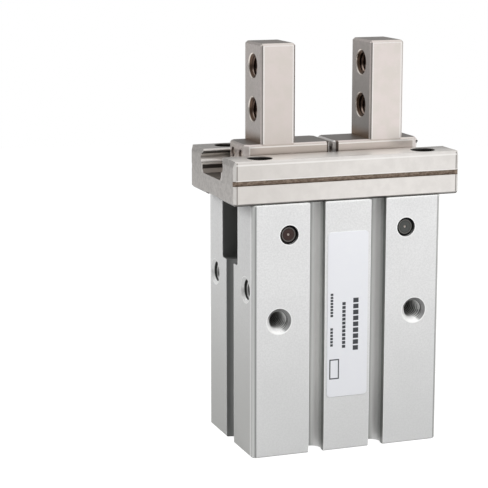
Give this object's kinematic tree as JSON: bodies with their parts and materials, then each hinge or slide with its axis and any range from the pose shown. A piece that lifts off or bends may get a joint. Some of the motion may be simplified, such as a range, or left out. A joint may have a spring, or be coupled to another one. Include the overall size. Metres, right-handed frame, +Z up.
{
  "type": "pneumatic parallel gripper",
  "caption": "Two-finger air gripper: a grooved block body with a cylinder, bell-crank levers and a ball guide rail on which both fingers open and close together.",
  "frame": {"origin": "centre of the body's bottom face, under the cylinder's axis", "axes": "+Z up along the cylinder and the fingers, X the direction in which the fingers open, -Y the front with the label"},
  "size_m": [0.05, 0.0277, 0.0848],
  "materials": {
    "anodised_aluminium": "fine matt clear anodised",
    "rail_steel": "ground, warm bright",
    "finger_steel": "ground, warm bright",
    "screw_steel": "satin",
    "pin_steel": "ground",
    "shaft_steel": "dark oxide",
    "lever_steel": "ground",
    "ball_steel": "polished",
    "piston_aluminium": "turned",
    "cap_aluminium": "turned, clear anodised",
    "ring_steel": "dark phosphated spring steel",
    "magnet": "moulded magnet compound",
    "seal_rubber": "smooth",
    "bumper_rubber": "smooth",
    "label_film": "smooth printed film, left blank but for plain marks"
  },
  "bodies": {
    "housing": {"body": "anodised_aluminium", "guide_rail": "rail_steel", "rail_screws": "screw_steel", "locating_pins": "pin_steel", "lever_shaft_left": "shaft_steel", "lever_shaft_right": "shaft_steel", "rod_seal": "seal_rubber", "seal_retainer": "pin_steel", "end_cap": "cap_aluminium", "cap_gasket": "seal_rubber", "retaining_ring": "ring_steel", "end_bumper": "bumper_rubber", "label": "label_film"},
    "finger_left": {"finger_left": "finger_steel", "foot_pins_left": "pin_steel"},
    "finger_right": {"finger_right": "finger_steel", "foot_pins_right": "pin_steel"},
    "lever_left": {"lever_left": "lever_steel"},
    "lever_right": {"lever_right": "lever_steel"},
    "piston": {"piston": "piston_aluminium", "rod_joint": "lever_steel", "piston_seal": "seal_rubber", "magnet_ring": "magnet", "piston_bumper": "bumper_rubber"},
    "balls_left": {"ball_row_left_front": "ball_steel", "ball_row_left_back": "ball_steel"},
    "balls_right": {"ball_row_right_front": "ball_steel", "ball_row_right_back": "ball_steel"}
  },
  "joints": [
    {"name": "finger_left_slide", "type": "slide", "parent": "housing", "child": "finger_left", "axis": [-1, 0, 0], "range_m": [0, 0.005]},
    {"name": "finger_right_slide", "type": "slide", "parent": "housing", "child": "finger_right", "axis": [1, 0, 0], "range_m": [0, 0.005]},
    {"name": "lever_left_swing", "type": "hinge", "parent": "housing", "child": "lever_left", "pos_m": [-0.01302, 0, 0.0467], "axis": [0, -1, 0], "range_deg": [0, 23]},
    {"name": "lever_right_swing", "type": "hinge", "parent": "housing", "child": "lever_right", "pos_m": [0.01302, 0, 0.0467], "axis": [0, 1, 0], "range_deg": [0, 23]},
    {"name": "piston_stroke", "type": "slide", "parent": "housing", "child": "piston", "axis": [0, 0, 1], "range_m": [0, 0.00379]},
    {"name": "balls_left_roll", "type": "slide", "parent": "housing", "child": "balls_left", "axis": [-1, 0, 0], "range_m": [0, 0.0025]},
    {"name": "balls_right_roll", "type": "slide", "parent": "housing", "child": "balls_right", "axis": [1, 0, 0], "range_m": [0, 0.0025]}
  ],
  "couplings": [
    {"joint": "finger_right_slide", "follows": "finger_left_slide", "ratio": 1},
    {"joint": "lever_left_swing", "follows": "finger_left_slide", "rad_per_m": 80.285},
    {"joint": "lever_right_swing", "follows": "finger_left_slide", "rad_per_m": 80.285},
    {"joint": "piston_stroke", "follows": "finger_left_slide", "ratio": 0.75797},
    {"joint": "balls_left_roll", "follows": "finger_left_slide", "ratio": 0.5},
    {"joint": "balls_right_roll", "follows": "finger_left_slide", "ratio": 0.5}
  ]
}
